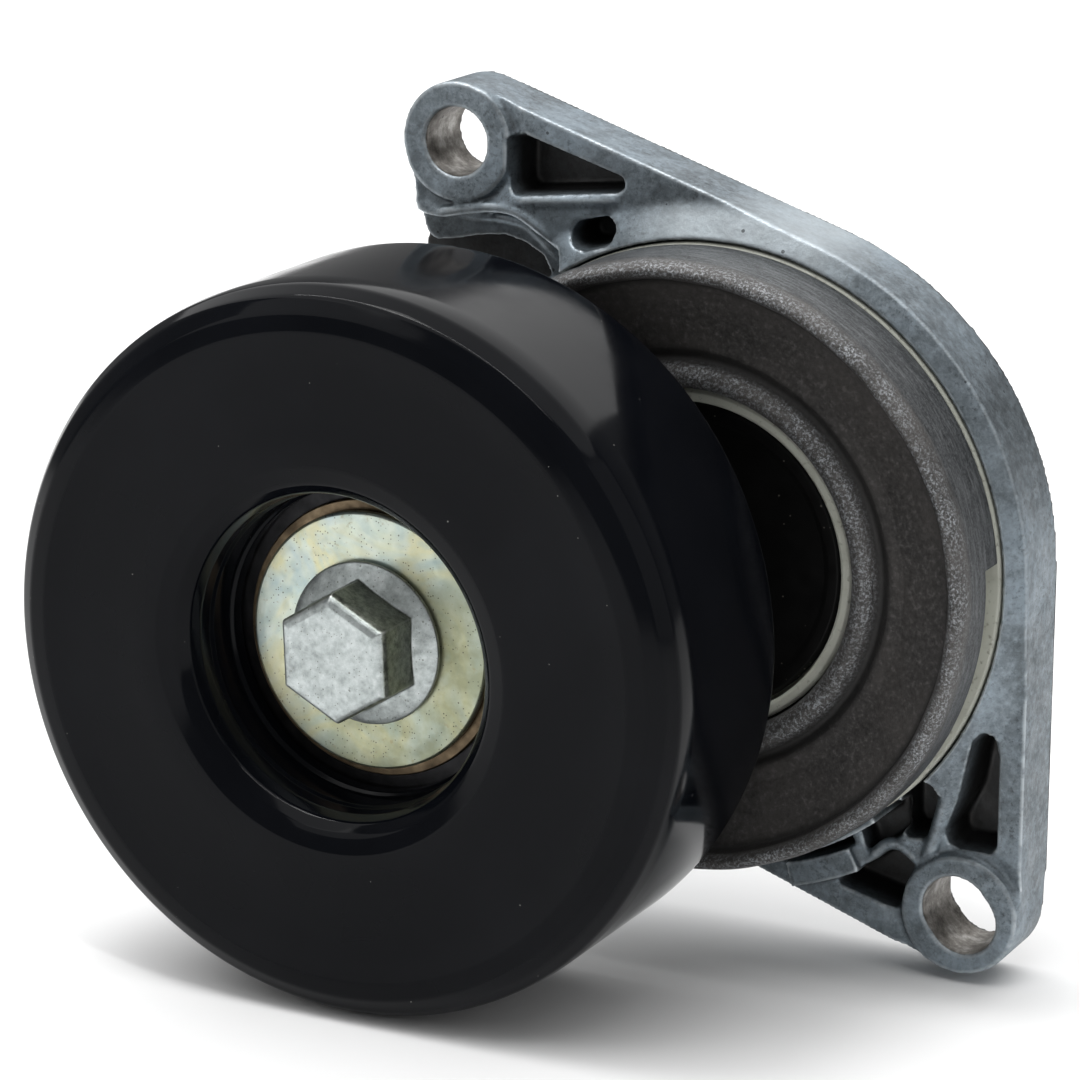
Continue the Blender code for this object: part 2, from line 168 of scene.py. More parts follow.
def lathe(name, profile, centre, segments=192, wobble=None):
    """Closed (radius, height) profile turned about an upright axis. wobble(turn, r, h) shifts (r, h)."""
    verts = []
    faces = []
    count = len(profile)
    for s in range(segments):
        turn = 2.0 * math.pi * s / segments
        for r, h in profile:
            if wobble:
                dr, dh = wobble(turn, r, h)
                r, h = max(r + dr, 0.0), h + dh
            verts.append(stand(centre[0] + r * math.cos(turn), centre[1] + r * math.sin(turn), h))
    for s in range(segments):
        a = s * count
        b = ((s + 1) % segments) * count
        for k in range(count):
            n = (k + 1) % count
            if profile[k][0] < 1e-6 and profile[n][0] < 1e-6:
                continue
            faces.append((a + k, b + k, b + n, a + n))
    return obj_from(name, verts, faces)


def prism(name, outline, low, high):
    verts = [stand(x, y, low) for x, y in outline] + [stand(x, y, high) for x, y in outline]
    n = len(outline)
    faces = [tuple(range(n)), tuple(range(2 * n - 1, n - 1, -1))]
    faces += [(k, (k + 1) % n, n + (k + 1) % n, n + k) for k in range(n)]
    return obj_from(name, verts, faces)


def arc(centre, radius, start, stop, step=4.0):
    count = max(2, round(abs(stop - start) / step))
    out = []
    for k in range(count + 1):
        turn = math.radians(start + (stop - start) * k / count)
        out.append((centre[0] + radius * math.cos(turn), centre[1] + radius * math.sin(turn)))
    return out


def sector(name, inner, outer, start, stop, low, high, centre=PIVOT):
    return prism(name, arc(centre, outer, start, stop) + arc(centre, inner, stop, start), low, high)


def hull_outline(discs, step=15.0):
    """Outline of the convex hull of discs (x, y, r)."""
    points = []
    for x, y, r in discs:
        points += arc((x, y), r, 0.0, 360.0 - step, step)
    points = sorted(set((round(px, 5), round(py, 5)) for px, py in points))

    def half(seq):
        chain = []
        for p in seq:
            while len(chain) > 1:
                (ax, ay), (bx, by) = chain[-2], chain[-1]
                if (bx - ax) * (p[1] - ay) - (by - ay) * (p[0] - ax) > 0:
                    break
                chain.pop()
            chain.append(p)
        return chain[:-1]

    return half(points) + half(points[::-1])


def pocket(name, outline, floor, lean, corner=0.7):
    """Pocket cutter with rounded corners. Its walls lean inwards by lean (mm) on the way to the floor."""
    rim = fillet(outline, corner, 4) if corner else outline
    cx = sum(p[0] for p in rim) / len(rim)
    cy = sum(p[1] for p in rim) / len(rim)
    foot = []
    for x, y in rim:
        inward = Vector((cx - x, cy - y))
        inward = inward.normalized() * min(lean, inward.length * 0.6)
        foot.append((x + inward.x, y + inward.y))
    verts = [stand(x, y, floor) for x, y in foot]
    verts += [stand(x, y, FACE_H) for x, y in rim] + [stand(x, y, PLATE_H + 2.5) for x, y in rim]
    n = len(rim)
    faces = [tuple(range(n)), tuple(range(3 * n - 1, 2 * n - 1, -1))]
    for low in (0, n):
        faces += [(low + k, low + (k + 1) % n, low + n + (k + 1) % n, low + n + k) for k in range(n)]
    return obj_from(name, verts, faces)


def inside(points, outline):
    """True for each (x, y) row of points that lies inside the outline."""
    hit = np.zeros(len(points), bool)
    x, y = points[:, 0], points[:, 1]
    for (ax, ay), (bx, by) in zip(outline, outline[1:] + outline[:1]):
        if ay == by:
            continue
        spans = (ay > y) != (by > y)
        hit ^= spans & (x < ax + (y - ay) * (bx - ax) / (by - ay))
    return hit


def recess_attribute(item, outlines):
    """Store how deep each vertex sits in one of the outlined pockets, 0 to 1, as an attribute for painted
    shade with some grime.
    """
    mesh = item.data
    co = np.empty(len(mesh.vertices) * 3, np.float64)
    mesh.vertices.foreach_get("co", co)
    co = co.reshape(-1, 3) / MM
    within = np.zeros(len(co), bool)
    for outline in outlines:
        within |= inside(co[:, [0, 2]], outline)
    height = -co[:, 1]
    within &= height > POCKET_FLOOR - 0.8
    depth = np.clip((PLATE_H - 0.6 - height) / 3.0, 0.0, 1.0) * within
    layer = mesh.attributes.new("pocket_shade_and_grime", "FLOAT", "POINT")
    layer.data.foreach_set("value", depth.astype(np.float32))


def tube_along(name, points, radius, sides=10):
    """Round bar along points (x, y, h), tapering to a quarter of its radius at its ends."""
    path = [Vector(p) for p in points]
    verts = []
    faces = []
    for i, p in enumerate(path):
        along = (path[min(i + 1, len(path) - 1)] - path[max(i - 1, 0)]).normalized()
        side = along.cross(Vector((0, 0, 1))).normalized()
        up = side.cross(along)
        share = i / (len(path) - 1)
        r = radius * (0.25 + 0.75 * min(1.0, 6.0 * share, 6.0 * (1.0 - share)))
        for k in range(sides):
            turn = 2.0 * math.pi * k / sides
            q = p + side * (r * math.cos(turn)) + up * (r * math.sin(turn))
            verts.append(stand(q.x, q.y, q.z))
    for i in range(len(path) - 1):
        for k in range(sides):
            n = (k + 1) % sides
            faces.append((i * sides + k, i * sides + n, (i + 1) * sides + n, (i + 1) * sides + k))
    faces.append(tuple(range(sides)))
    faces.append(tuple(range((len(path) - 1) * sides, len(path) * sides)))
    return obj_from(name, verts, faces)


def smooth_path(points, per=6):
    """Catmull-Rom points through a list of plan points (x, y)."""
    pts = [Vector(p) for p in points]
    pts = [pts[0] * 2 - pts[1]] + pts + [pts[-1] * 2 - pts[-2]]
    out = []
    for i in range(1, len(pts) - 2):
        a, b, c, d = pts[i - 1], pts[i], pts[i + 1], pts[i + 2]
        for k in range(per):
            t = k / per
            out.append(0.5 * ((2 * b) + (c - a) * t + (2 * a - 5 * b + 4 * c - d) * t * t
                              + (3 * b - a - 3 * c + d) * t ** 3))
    out.append(pts[-2])
    return [tuple(p) for p in out]


def raised(path, h):
    """Plan points lifted to height h."""
    return [(x, y, h) for x, y in path]


def apply_all(item):
    graph = bpy.context.evaluated_depsgraph_get()
    graph.update()
    shaped = bpy.data.meshes.new_from_object(item.evaluated_get(graph))
    item.modifiers.clear()
    item.data = shaped


def boolean(item, tools, operation):
    for tool in tools:
        step = item.modifiers.new(tool.name, "BOOLEAN")
        step.operation = operation
        step.object = tool
        step.solver = "EXACT"
    apply_all(item)
    for tool in tools:
        bpy.data.objects.remove(tool, do_unlink=True)


def voxel(item, size, smooth, factor=0.5):
    step = item.modifiers.new("Remesh", "REMESH")
    step.mode = "VOXEL"
    step.voxel_size = size * MM
    step.use_smooth_shade = True
    soft = item.modifiers.new("Smooth", "SMOOTH")
    soft.factor = factor
    soft.iterations = smooth
    apply_all(item)
    item.data.shade_smooth()


def edge_attribute(item, passes=2):
    """Store how convex each vertex is, from -1 in corners to +1 on edges, as attribute edge."""
    mesh = item.data
    n = len(mesh.vertices)
    co = np.empty(n * 3, np.float64)
    mesh.vertices.foreach_get("co", co)
    co = co.reshape(-1, 3)
    normal = np.empty(n * 3, np.float64)
    mesh.vertices.foreach_get("normal", normal)
    normal = normal.reshape(-1, 3)
    pairs = np.empty(len(mesh.edges) * 2, np.int64)
    mesh.edges.foreach_get("vertices", pairs)
    pairs = pairs.reshape(-1, 2)
    value = np.zeros(n)
    weight = np.zeros(n)
    gap = co[pairs[:, 1]] - co[pairs[:, 0]]
    length = np.linalg.norm(gap, axis=1) + 1e-12
    np.add.at(value, pairs[:, 0], -(gap * normal[pairs[:, 0]]).sum(1) / length)
    np.add.at(value, pairs[:, 1], (gap * normal[pairs[:, 1]]).sum(1) / length)
    np.add.at(weight, pairs[:, 0], 1.0)
    np.add.at(weight, pairs[:, 1], 1.0)
    value = value / np.maximum(weight, 1.0)
    for _ in range(passes):
        total = value.copy()
        np.add.at(total, pairs[:, 0], value[pairs[:, 1]])
        np.add.at(total, pairs[:, 1], value[pairs[:, 0]])
        value = total / (1.0 + weight)
    layer = mesh.attributes.new("edge", "FLOAT", "POINT")
    layer.data.foreach_set("value", value.astype(np.float32))


def flank_attribute(item):
    """Mark the vertices whose normal points across the mounting axis, 0 to 1, as an attribute that the bolt
    uses for painted shade on its sides.
    """
    mesh = item.data
    normal = np.empty(len(mesh.vertices) * 3, np.float64)
    mesh.vertices.foreach_get("normal", normal)
    side = np.clip((0.75 - np.abs(normal.reshape(-1, 3)[:, 1])) / 0.35, 0.0, 1.0)
    layer = mesh.attributes.new("side_shade", "FLOAT", "POINT")
    layer.data.foreach_set("value", side.astype(np.float32))


def finish_piece(item, surface, body, nodes, sharp=None):
    item.data.materials.clear()
    item.data.materials.append(surface)
    if sharp:
        item.data.set_sharp_from_angle(angle=math.radians(sharp))
    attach(item, body)
    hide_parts(*nodes)
    return item


# Material helpers.

class Look:
    """A Principled material, with short calls for the nodes that feed it. Textures use object coordinates."""

    def __init__(self, name, colour, metallic, roughness, specular=0.5):
        self.mat = bpy.data.materials.new(name)
        self.mat.use_nodes = True
        self.tree = self.mat.node_tree
        self.shader = self.tree.nodes["Principled BSDF"]
        self.shader.inputs["Base Color"].default_value = (*colour, 1.0)
        self.shader.inputs["Metallic"].default_value = metallic
        self.shader.inputs["Roughness"].default_value = roughness
        self.shader.inputs["Specular IOR Level"].default_value = specular
        self.coord = self.tree.nodes.new("ShaderNodeTexCoord").outputs["Object"]

    def link(self, a, b):
        self.tree.links.new(a, b)

    def math(self, kind, a, b):
        node = self.tree.nodes.new("ShaderNodeMath")
        node.operation = kind
        for k, v in enumerate((a, b)):
            if isinstance(v, (int, float)):
                node.inputs[k].default_value = v
            else:
                self.link(v, node.inputs[k])
        return node.outputs[0]

    def noise(self, per_mm, detail=3.0, rough=0.55, distortion=0.0, stretch=None):
        node = self.tree.nodes.new("ShaderNodeTexNoise")
        node.inputs["Scale"].default_value = per_mm / MM
        node.inputs["Detail"].default_value = detail
        node.inputs["Roughness"].default_value = rough
        node.inputs["Distortion"].default_value = distortion
        source = self.coord
        if stretch:
            place = self.tree.nodes.new("ShaderNodeMapping")
            place.inputs["Scale"].default_value = stretch
            self.link(source, place.inputs["Vector"])
            source = place.outputs[0]
        self.link(source, node.inputs["Vector"])
        return node.outputs["Fac"]

    def specks(self, per_mm, size, share):
        """Sparse dots. share is the part of the cells that hold one, and size its radius in cells."""
        node = self.tree.nodes.new("ShaderNodeTexVoronoi")
        node.inputs["Scale"].default_value = per_mm / MM
        self.link(self.coord, node.inputs["Vector"])
        dot = self.math("LESS_THAN", node.outputs["Distance"], size)
        split = self.tree.nodes.new("ShaderNodeSeparateColor")
        self.link(node.outputs["Color"], split.inputs[0])
        chosen = self.math("LESS_THAN", split.outputs[0], share)
        return self.math("MULTIPLY", dot, chosen)

    def ramp(self, value, stops):
        node = self.tree.nodes.new("ShaderNodeValToRGB")
        ramp = node.color_ramp
        while len(ramp.elements) < len(stops):
            ramp.elements.new(0.5)
        for element, (place, colour) in zip(ramp.elements, stops):
            element.position = place
            element.color = (*colour, 1.0)
        self.link(value, node.inputs[0])
        return node.outputs[0]

    def mix(self, share, a, b):
        node = self.tree.nodes.new("ShaderNodeMix")
        node.data_type = "RGBA"
        for socket, v in ((node.inputs[0], share), (node.inputs[6], a), (node.inputs[7], b)):
            if isinstance(v, (int, float)):
                socket.default_value = v
            elif isinstance(v, tuple):
                socket.default_value = (*v, 1.0)
            else:
                self.link(v, socket)
        return node.outputs[2]

    def range(self, value, low, high, to_low=0.0, to_high=1.0):
        node = self.tree.nodes.new("ShaderNodeMapRange")
        node.clamp = True
        self.link(value, node.inputs[0])
        for k, v in zip((1, 2, 3, 4), (low, high, to_low, to_high)):
            node.inputs[k].default_value = v
        return node.outputs[0]

    def bump(self, height, strength, distance_mm, below=None):
        node = self.tree.nodes.new("ShaderNodeBump")
        node.inputs["Strength"].default_value = strength
        node.inputs["Distance"].default_value = distance_mm * MM
        self.link(height, node.inputs["Height"])
        if below:
            self.link(below, node.inputs["Normal"])
        return node.outputs[0]

    def stored(self, name):
        node = self.tree.nodes.new("ShaderNodeAttribute")
        node.attribute_name = name
        return node.outputs["Fac"]

    def edge(self):
        return self.stored("edge")

    def radius(self, centre):
        """Distance in mm from an upright axis."""
        place = self.tree.nodes.new("ShaderNodeMapping")
        place.inputs["Location"].default_value = (-centre[0], 0.0, -centre[1])
        place.inputs["Scale"].default_value = (1 / MM, 0.0, 1 / MM)
        self.link(self.coord, place.inputs["Vector"])
        node = self.tree.nodes.new("ShaderNodeVectorMath")
        node.operation = "LENGTH"
        self.link(place.outputs[0], node.inputs[0])
        return node.outputs["Value"]

    def rings(self, centre, per_mm, detail=4.0):
        """Noise that changes with radius only, as a turned or spun surface has."""
        node = self.tree.nodes.new("ShaderNodeTexNoise")
        node.noise_dimensions = "1D"
        node.inputs["Scale"].default_value = per_mm
        node.inputs["Detail"].default_value = detail
        self.link(self.radius(centre), node.inputs["W"])
        return node.outputs["Fac"]

    def height(self):
        """Height above the mounting face, in mm."""
        split = self.tree.nodes.new("ShaderNodeSeparateXYZ")
        self.link(self.coord, split.inputs[0])
        return self.math("MULTIPLY", split.outputs[1], -1.0 / MM)

    def colour(self, socket):
        self.link(socket, self.shader.inputs["Base Color"])

    def rough(self, socket):
        self.link(socket, self.shader.inputs["Roughness"])

    def normal(self, socket):
        self.link(socket, self.shader.inputs["Normal"])


def cast_look():
    look = Look("cast_aluminium", (0.25, 0.28, 0.3), 0.8, 0.5)
    broad = look.noise(0.07, 5.0, 0.6)
    fine = look.noise(0.9, 6.0, 0.7)
    blotch = look.noise(0.22, 4.0, 0.6, distortion=0.6)
    tone = look.ramp(broad,
                     [(0.3, (0.105, 0.122, 0.132)), (0.5, (0.165, 0.192, 0.212)),
                      (0.72, (0.27, 0.325, 0.37))])
    tone = look.mix(look.range(blotch, 0.42, 0.66, 0.0, 0.65), tone, (0.085, 0.10, 0.11))
    tone = look.mix(look.range(fine, 0.42, 0.72, 0.0, 0.45), tone, (0.38, 0.45, 0.50))
    grime = look.range(look.noise(1.7, 6.0, 0.75), 0.50, 0.66, 0.0, 0.75)
    grime = look.math("MULTIPLY", grime, look.range(look.noise(0.15, 3.0), 0.35, 0.65, 0.25, 1.0))
    tone = look.mix(grime, tone, (0.035, 0.038, 0.040))
    # Convex edges are lighter: partly worn metal, partly a painted highlight.
    edge_wear_and_highlight = look.range(look.edge(), 0.045, 0.17, 0.0, 0.85)
    edge_wear_and_highlight = look.math("MULTIPLY", edge_wear_and_highlight, look.range(look.noise(0.6, 5.0), 0.36, 0.54, 0.30, 1.0))
    tone = look.mix(edge_wear_and_highlight, tone, (0.66, 0.71, 0.74))
    # Painted shade darkens the creases and inner corners of the casting.
    crease_shade = look.range(look.edge(), -0.22, -0.03, 0.8, 0.0)
    tone = look.mix(crease_shade, tone, (0.045, 0.045, 0.045))
    # Painted shade, with some grime, darkens the pocket floors, the stop gap and the rear web.
    tone = look.mix(look.math("MULTIPLY", look.stored("pocket_shade_and_grime"), 0.9), tone, (0.030, 0.027, 0.025))
    # A painted highlight makes the fillet beside the damper ring, towards the top, paler than the rest of the
    # casting.
    painted_flare = look.math("MULTIPLY", look.range(look.radius(PIVOT), 38.6, 39.2),
                     look.range(look.radius(PIVOT), 43.6, 41.4))
    painted_flare = look.math("MULTIPLY", painted_flare, look.range(look.radius((4.0, 42.0)), 17.0, 9.0, 0.0, 0.5))
    tone = look.mix(painted_flare, tone, (0.55, 0.60, 0.63))
    # The walls of the bolt holes are a mottled warm grey.
    bored = look.math("MAXIMUM", look.range(look.radius(EAR_A), 4.75, 4.65),
                      look.range(look.radius(EAR_B), 5.6, 5.5))
    bored = look.math("MULTIPLY", bored, look.range(look.height(), 9.3, 9.1))
    hole_tone = look.ramp(look.noise(0.3, 6.0, 0.7),
                          [(0.34, (0.06, 0.053, 0.045)), (0.5, (0.20, 0.187, 0.17)),
                           (0.66, (0.46, 0.45, 0.43))])
    tone = look.mix(bored, tone, hole_tone)
    # A dark ragged line runs along the back edge.
    back_edge = look.range(look.math("ADD", look.height(),
                                     look.math("MULTIPLY", look.noise(0.5, 5.0, 0.8), 1.6)), 1.35, 1.15)
    tone = look.mix(look.math("MULTIPLY", back_edge, 0.85), tone, (0.02, 0.021, 0.022))
    pits = look.specks(0.55, 0.13, 0.07)
    tone = look.mix(look.math("MULTIPLY", pits, 0.7), tone, (0.02, 0.02, 0.02))
    look.colour(tone)
    look.rough(look.range(look.noise(0.35, 4.0), 0.3, 0.7, 0.38, 0.58))
    grain = look.bump(look.noise(1.6, 5.0, 0.7), 0.4, 0.12)
    look.normal(look.bump(look.noise(0.16, 3.0), 0.35, 0.6, grain))
    return look.mat


def phosphate_look():
    look = Look("phosphated_steel", (0.05, 0.05, 0.05), 0.45, 0.5)
    fine = look.noise(1.3, 5.0, 0.75)
    broad = look.noise(0.12, 3.0, 0.5)
    tone = look.ramp(fine,
                     [(0.3, (0.026, 0.025, 0.024)), (0.55, (0.065, 0.062, 0.060)),
                      (0.8, (0.17, 0.163, 0.158))])
    tone = look.mix(look.range(broad, 0.35, 0.7, 0.0, 0.45), tone, (0.10, 0.092, 0.086))
    radius = look.radius(PIVOT)
    h = look.height()
    # The crests of the rim and inner roll carry bright grit: partly worn phosphate, partly a painted
    # highlight.
    rim = look.math("MULTIPLY", look.range(radius, 35.7, 36.3), look.range(h, 20.0, 21.6))
    roll = look.math("MULTIPLY", look.range(radius, 25.4, 24.6), look.range(radius, 21.0, 22.2))
    band = look.math("MAXIMUM", rim, roll)
    grit = look.range(look.noise(2.9, 6.0, 0.8), 0.49, 0.60)
    band = look.math("MULTIPLY", band, look.range(look.noise(0.22, 4.0), 0.32, 0.62, 0.35, 1.0))
    tone = look.mix(look.math("MULTIPLY", band, grit), tone, (0.36, 0.38, 0.40))
    # The skirt is greyer than the rest, with streaks that run round it.
    skirt = look.math("MULTIPLY", look.range(radius, 37.4, 37.9), look.range(h, 20.6, 19.8))
    skirt_tone = look.ramp(look.noise(0.25, 5.0, 0.7, stretch=(1.0, 9.0, 1.0)),
                           [(0.36, (0.018, 0.019, 0.020)), (0.5, (0.042, 0.045, 0.048)),
                            (0.68, (0.13, 0.134, 0.138))])
    skirt_tone = look.mix(look.math("MULTIPLY", grit, 0.5), skirt_tone, (0.17, 0.178, 0.185))
    tone = look.mix(skirt, tone, skirt_tone)
    # The groove inside the rim and the one round the inner roll are dark.
    groove = look.math("MULTIPLY", look.range(radius, 34.7, 35.4), look.range(radius, 36.3, 35.9))
    ditch = look.math("MULTIPLY", look.range(radius, 24.6, 25.2), look.range(radius, 27.2, 26.2))
    shade = look.math("MULTIPLY", look.math("MAXIMUM", groove, ditch), look.range(h, 21.9, 21.2, 0.0, 0.75))
    tone = look.mix(shade, tone, (0.012, 0.012, 0.012))
    look.colour(tone)
    look.rough(look.range(fine, 0.3, 0.7, 0.42, 0.6))
    grain = look.bump(look.noise(2.6, 6.0, 0.8), 0.6, 0.14)
    look.normal(look.bump(look.rings(PIVOT, 2.5), 0.12, 0.05, grain))
    return look.mat


def pulley_look():
    look = Look("pulley_black", (0.003, 0.003, 0.004), 0.0, 0.1, 0.09)
    dust = look.math("MAXIMUM", look.specks(0.34, 0.035, 0.16), look.specks(0.8, 0.06, 0.05))
    haze = look.range(look.noise(0.06, 3.0), 0.45, 0.75, 0.0, 0.5)
    tone = look.mix(haze, (0.0022, 0.0026, 0.0038), (0.005, 0.0056, 0.0075))
    tone = look.mix(look.math("MULTIPLY", dust, 0.35), tone, (0.45, 0.45, 0.42))
    look.colour(tone)
    look.rough(look.range(look.noise(0.1, 4.0), 0.35, 0.7, 0.07, 0.17))
    rings = look.bump(look.rings(PULLEY, 0.45, 3.0), 0.10, 0.10)
    look.normal(look.bump(look.noise(0.35, 2.0), 0.04, 0.08, rings))
    return look.mat


def zinc_look():
    look = Look("zinc_plate", (0.6, 0.65, 0.55), 0.85, 0.32)
    swirl = look.noise(0.10, 3.0, 0.5, distortion=1.4)
    tone = look.ramp(swirl,
                     [(0.30, (0.40, 0.52, 0.54)), (0.45, (0.55, 0.62, 0.53)), (0.58, (0.64, 0.63, 0.40)),
                      (0.72, (0.46, 0.58, 0.55))])
    cloud = look.range(look.noise(0.5, 5.0, 0.7), 0.4, 0.75, 0.0, 0.35)
    tone = look.mix(cloud, tone, (0.80, 0.82, 0.76))
    # The plating is darker and yellower towards the lower right: painted shade, with a yellow tint of the
    # plating.
    drift = look.tree.nodes.new("ShaderNodeVectorMath")
    drift.operation = "DOT_PRODUCT"
    drift.inputs[1].default_value = (0.75 / MM, 0.0, -0.66 / MM)
    look.link(look.coord, drift.inputs[0])
    shade_and_tint = look.range(drift.outputs["Value"], -24.0, -9.0, 0.0, 1.0)
    shade_and_tint = look.math("MULTIPLY", shade_and_tint, look.range(look.noise(0.2, 4.0, 0.6), 0.3, 0.6, 0.35, 0.85))
    tone = look.mix(shade_and_tint, tone, (0.25, 0.265, 0.16))
    stain = look.range(look.noise(0.9, 5.0, 0.75), 0.60, 0.72, 0.0, 0.6)
    tone = look.mix(stain, tone, (0.30, 0.24, 0.12))
    specks = look.math("MAXIMUM", look.specks(3.0, 0.26, 0.16), look.specks(1.5, 0.16, 0.14))
    tone = look.mix(look.math("MULTIPLY", specks, 0.75), tone, (0.06, 0.05, 0.035))
    look.colour(tone)
    look.rough(look.range(look.noise(0.7, 4.0), 0.3, 0.7, 0.3, 0.46))
    fine = look.bump(look.noise(1.8, 4.0, 0.7), 0.2, 0.06)
    look.normal(look.bump(look.rings(PULLEY, 1.6), 0.08, 0.05, fine))
    return look.mat


def bolt_look():
    look = Look("bolt_steel", (0.6, 0.63, 0.62), 0.85, 0.36)
    cloud = look.noise(0.7, 5.0, 0.7)
    tone = look.ramp(cloud,
                     [(0.3, (0.27, 0.295, 0.29)), (0.5, (0.43, 0.47, 0.465)), (0.75, (0.62, 0.66, 0.655))])
    # Painted shade darkens the side faces of the head and the flange, in a mottled olive tone.
    side = look.math("MULTIPLY", look.stored("side_shade"), look.range(look.noise(0.4, 4.0), 0.3, 0.7, 0.75, 1.0))
    tone = look.mix(side, tone,
                    look.ramp(look.noise(1.1, 5.0, 0.7),
                              [(0.35, (0.12, 0.135, 0.105)), (0.65, (0.40, 0.43, 0.35))]))
    # Convex edges are lighter: partly worn plating, partly a painted highlight.
    bolt_wear_and_highlight = look.range(look.edge(), 0.04, 0.2, 0.0, 0.9)
    tone = look.mix(bolt_wear_and_highlight, tone, (0.86, 0.88, 0.86))
    # Painted shade darkens the inner corners.
    corner = look.range(look.edge(), -0.25, -0.06, 0.9, 0.0)
    tone = look.mix(corner, tone, (0.03, 0.03, 0.025))
    pits = look.math("MAXIMUM", look.specks(1.4, 0.18, 0.16), look.specks(3.0, 0.26, 0.16))
    tone = look.mix(look.math("MULTIPLY", pits, 0.6), tone, (0.12, 0.12, 0.10))
    look.colour(tone)
    look.rough(look.range(look.noise(1.1, 4.0), 0.3, 0.7, 0.28, 0.48))
    look.normal(look.bump(look.noise(1.2, 5.0, 0.75), 0.4, 0.10))
    return look.mat


def bronze_look():
    look = Look("chromated_shield", (0.4, 0.3, 0.16), 0.8, 0.38)
    swirl = look.noise(0.3, 4.0, 0.6)
    look.colour(look.ramp(swirl,
                          [(0.3, (0.07, 0.05, 0.03)), (0.55, (0.19, 0.14, 0.085)),
                           (0.8, (0.36, 0.28, 0.18))]))
    look.rough(look.range(look.noise(0.8, 4.0), 0.3, 0.7, 0.3, 0.5))
    look.normal(look.bump(look.rings(PULLEY, 2.0), 0.15, 0.05))
    return look.mat


def cream_look():
    look = Look("cream_polymer", (0.60, 0.58, 0.44), 0.0, 0.42)
    stain = look.range(look.noise(0.35, 4.0, 0.6), 0.5, 0.75, 0.0, 0.5)
    tone = look.mix(stain, (0.47, 0.48, 0.42), (0.31, 0.31, 0.26))
    tone = look.mix(look.range(look.noise(1.4, 4.0), 0.6, 0.7, 0.0, 0.6), tone, (0.16, 0.155, 0.125))
    look.colour(tone)
    look.rough(look.range(look.noise(0.8, 3.0), 0.3, 0.7, 0.36, 0.55))
    look.normal(look.bump(look.noise(1.5, 4.0), 0.2, 0.06))
    return look.mat


def black_look():
    look = Look("black_paint", (0.004, 0.004, 0.004), 0.0, 0.42, 0.15)
    dust = look.math("MAXIMUM", look.specks(0.55, 0.10, 0.16), look.specks(1.3, 0.14, 0.10))
    look.colour(look.mix(look.math("MULTIPLY", dust, 0.3), (0.003, 0.003, 0.003), (0.30, 0.28, 0.24)))
    look.rough(look.range(look.noise(0.4, 3.0), 0.3, 0.7, 0.35, 0.55))
    look.normal(look.bump(look.noise(0.9, 4.0), 0.25, 0.08))
    return look.mat


def steel_look(name, colour, roughness, centre=PULLEY):
    look = Look(name, colour, 0.9, roughness)
    dark = tuple(c * 0.55 for c in colour)
    look.colour(look.mix(look.range(look.noise(0.6, 4.0), 0.35, 0.7), colour, dark))
    look.rough(look.range(look.noise(0.9, 3.0), 0.3, 0.7, roughness * 0.8, roughness * 1.3))
    look.normal(look.bump(look.rings(centre, 3.0), 0.12, 0.04))
    return look.mat


def rubber_look():
    look = Look("seal_rubber", (0.012, 0.012, 0.012), 0.0, 0.6, 0.35)
    look.colour(look.mix(look.range(look.noise(0.7, 4.0), 0.4, 0.75), (0.010, 0.010, 0.010),
                         (0.03, 0.028, 0.025)))
    look.rough(look.range(look.noise(0.5, 3.0), 0.3, 0.7, 0.5, 0.75))
    look.normal(look.bump(look.noise(2.0, 3.0), 0.3, 0.05))
    return look.mat


def floor_look():
    return Look("studio_floor", (0.93, 0.93, 0.93), 0.0, 0.9, 0.1).mat


# Pieces.

def bracket_outline():
    points = arc(PIVOT, HOUSING_R, 0.0, 71.6)
    points += arc(EAR_A, EAR_R, 71.6, 196.0, 8.0)
    points += [(-42.6, 41.0), (-41.9, 36.6)]
    points += arc((-39.8, 36.3), 1.9, 195.0, 265.0, 18.0)
    points += [(-37.1, 34.8), (-34.2, 35.5), (-30.4, 35.9), (-27.5, 35.2), (-25.0, 33.8)]
    points += arc(PIVOT, HOUSING_LOW_R, 127.0, 266.0)
    points += [(2.0, -39.6)]
    points += arc(EAR_B, EAR_R, 251.2, 360.0, 8.0)
    points += [(HOUSING_R, -38.0)]
    return points


# Outlines of the pockets at the plate's face, in plan.
POCKET_LONG = [(-29.2, 48.6), (-26.9, 49.1), (-13.2, 44.9), (-12.9, 43.5), (-14.0, 42.8), (-28.4, 41.2),
               (-29.3, 42.3)]
POCKET_SMALL = [(-20.4, 37.6), (-19.8, 35.8), (-17.6, 35.5), (-14.1, 36.6), (-13.5, 38.6), (-15.0, 40.0),
                (-19.3, 39.0)]
POCKET_TALL = [(36.2, -18.3), (35.0, -19.7), (33.2, -26.4), (31.2, -32.2), (31.6, -34.0), (32.8, -34.5),
               (37.1, -34.5), (38.0, -33.3), (38.0, -21.8), (37.4, -19.1)]
POCKET_MID = [(25.2, -27.8), (25.3, -32.4), (26.2, -33.8), (28.8, -33.6), (29.4, -32.2), (30.2, -29.5),
              (30.5, -27.5), (29.9, -26.0), (28.6, -25.3)]
POCKET_LOW = [(16.5, -41.2), (21.7, -42.6), (24.8, -43.5), (25.6, -43.0), (26.2, -39.9), (27.3, -37.5),
              (26.6, -36.7), (25.2, -35.7), (24.0, -35.8), (20.5, -38.4)]
SUNKEN = [(19.6, -32.6), (22.5, -30.6), (25.4, -28.9), (25.7, -33.6), (22.9, -35.9), (21.2, -37.3),
          (20.3, -34.4)]
# Inner and outer radius of the gap beside the stop bar.
STOP_GAP = (38.2, 40.8)
# Section of the housing's raised rim, as (radius, height).
HOUSING_RIM = [(38.0, 8.2), (38.0, 11.2), (38.9, 11.25), (42.3, 9.35), (43.3, 8.95), (45.0, 8.75),
               (45.0, 8.2)]


